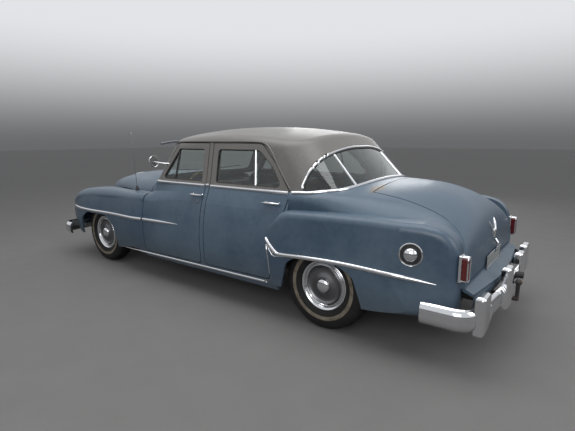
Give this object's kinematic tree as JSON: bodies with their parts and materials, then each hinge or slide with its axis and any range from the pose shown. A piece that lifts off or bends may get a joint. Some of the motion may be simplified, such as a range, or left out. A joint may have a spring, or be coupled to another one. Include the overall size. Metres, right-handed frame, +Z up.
{
  "type": "four-door sedan car of the early 1950s",
  "caption": "Large four-door sedan with rounded roof, wrap-round rear window, opening doors, hood and trunk, steered front wheels and chrome trim.",
  "frame": {"origin": "on the floor under the middle of the overall length and width", "axes": "+X points forward, +Y to the car's left, +Z up"},
  "size_m": [5.322, 1.915, 1.6069],
  "materials": {
    "body_paint": "chalky faded blue-grey",
    "roof_paint": "satin warm grey",
    "chrome": "polished",
    "clear_glass": "clear",
    "red_lens": "red",
    "tyre": "worn rubber",
    "wheel_steel": "satin",
    "frame_black": "dusty black",
    "engine_iron": "oily",
    "steel_rusty": "rusty",
    "floor_carpet": "worn",
    "dash_paint": "satin",
    "seat_cloth": "woven",
    "wheel_plastic": "glossy"
  },
  "bodies": {
    "root": {"backlight": "clear_glass", "chassis_frame": "frame_black", "control_arms": "frame_black", "cowl": "body_paint", "dashboard": "dash_paint", "engine_block": "engine_iron", "exhaust": "steel_rusty", "firewall": "body_paint", "floor_pan": "floor_carpet", "front_bumper": "chrome", "front_fenders": "body_paint", "front_seat_back": "seat_cloth", "front_seat_cushion": "seat_cloth", "fuel_cap": "chrome", "fuel_tank": "frame_black", "grille": "chrome", "headlamp_lenses": "clear_glass", "headlamps": "chrome", "nose_panel": "body_paint", "rear_axle": "frame_black", "rear_body": "body_paint", "rear_bumper": "chrome", "rear_fenders": "body_paint", "rear_seat_back": "seat_cloth", "rear_seat_cushion": "seat_cloth", "roof_and_pillars": "roof_paint", "seat_frames": "frame_black", "sills_and_posts": "body_paint", "sun_visor": "roof_paint", "tail_lamp_housings": "chrome", "tail_lenses": "red_lens", "tow_bar": "frame_black", "trunk_floor": "floor_carpet", "windshield": "clear_glass"},
    "hood": {"hood": "body_paint"},
    "trunk_lid": {"trunk_lid": "body_paint"},
    "steering_wheel": {"steering_wheel": "wheel_plastic"},
    "knuckle_left": {"knuckle_left": "frame_black"},
    "knuckle_right": {"knuckle_right": "frame_black"},
    "door_front_left": {"door_front_left": "body_paint", "glass_front_left": "clear_glass", "handle_front_left": "chrome", "side_mirror": "chrome"},
    "door_rear_left": {"door_rear_left": "body_paint", "glass_rear_left": "clear_glass", "handle_rear_left": "chrome"},
    "wheel_front_left": {"tyre_front_left": "tyre", "wheel_front_left": "wheel_steel"},
    "wheel_rear_left": {"tyre_rear_left": "tyre", "wheel_rear_left": "wheel_steel"},
    "door_front_right": {"door_front_right": "body_paint", "glass_front_right": "clear_glass", "handle_front_right": "chrome"},
    "door_rear_right": {"door_rear_right": "body_paint", "glass_rear_right": "clear_glass", "handle_rear_right": "chrome"},
    "wheel_front_right": {"tyre_front_right": "tyre", "wheel_front_right": "wheel_steel"},
    "wheel_rear_right": {"tyre_rear_right": "tyre", "wheel_rear_right": "wheel_steel"}
  },
  "joints": [
    {"name": "hood_lift", "type": "hinge", "parent": "root", "child": "hood", "pos_m": [0.887, 0, 1.114], "axis": [0, -1, 0], "range_deg": [0, 45]},
    {"name": "trunk_lift", "type": "hinge", "parent": "root", "child": "trunk_lid", "pos_m": [-1.683, 0, 1.152], "axis": [0, 1, 0], "range_deg": [0, 60]},
    {"name": "steer_left", "type": "hinge", "parent": "root", "child": "knuckle_left", "pos_m": [1.781, 0.64, 0.36], "axis": [0, 0, 1], "range_deg": [-30, 30]},
    {"name": "steer_right", "type": "hinge", "parent": "root", "child": "knuckle_right", "pos_m": [1.781, -0.64, 0.36], "axis": [0, 0, 1], "range_deg": [-30, 30]},
    {"name": "steering_turn", "type": "hinge", "parent": "root", "child": "steering_wheel", "pos_m": [0.412, 0.37, 0.915], "axis": [-0.8387, 0, 0.5446], "range_deg": [-450, 450]},
    {"name": "door_front_left_swing", "type": "hinge", "parent": "root", "child": "door_front_left", "pos_m": [0.809, 0.912, 0.7], "axis": [0, 0, -1], "range_deg": [0, 65]},
    {"name": "door_rear_left_swing", "type": "hinge", "parent": "root", "child": "door_rear_left", "pos_m": [-0.138, 0.912, 0.7], "axis": [0, 0, -1], "range_deg": [0, 65]},
    {"name": "wheel_front_left_roll", "type": "hinge", "parent": "knuckle_left", "child": "wheel_front_left", "pos_m": [1.781, 0.7135, 0.36], "axis": [0, 1, 0], "continuous": true},
    {"name": "wheel_rear_left_roll", "type": "hinge", "parent": "root", "child": "wheel_rear_left", "pos_m": [-1.407, 0.7555, 0.36], "axis": [0, 1, 0], "continuous": true},
    {"name": "door_front_right_swing", "type": "hinge", "parent": "root", "child": "door_front_right", "pos_m": [0.809, -0.912, 0.7], "axis": [0, 0, 1], "range_deg": [0, 65]},
    {"name": "door_rear_right_swing", "type": "hinge", "parent": "root", "child": "door_rear_right", "pos_m": [-0.138, -0.912, 0.7], "axis": [0, 0, 1], "range_deg": [0, 65]},
    {"name": "wheel_front_right_roll", "type": "hinge", "parent": "knuckle_right", "child": "wheel_front_right", "pos_m": [1.781, -0.7135, 0.36], "axis": [0, 1, 0], "continuous": true},
    {"name": "wheel_rear_right_roll", "type": "hinge", "parent": "root", "child": "wheel_rear_right", "pos_m": [-1.407, -0.7555, 0.36], "axis": [0, 1, 0], "continuous": true}
  ],
  "couplings": [
    {"joint": "steer_right", "follows": "steer_left", "ratio": 1},
    {"joint": "steering_turn", "follows": "steer_left", "ratio": 15}
  ]
}
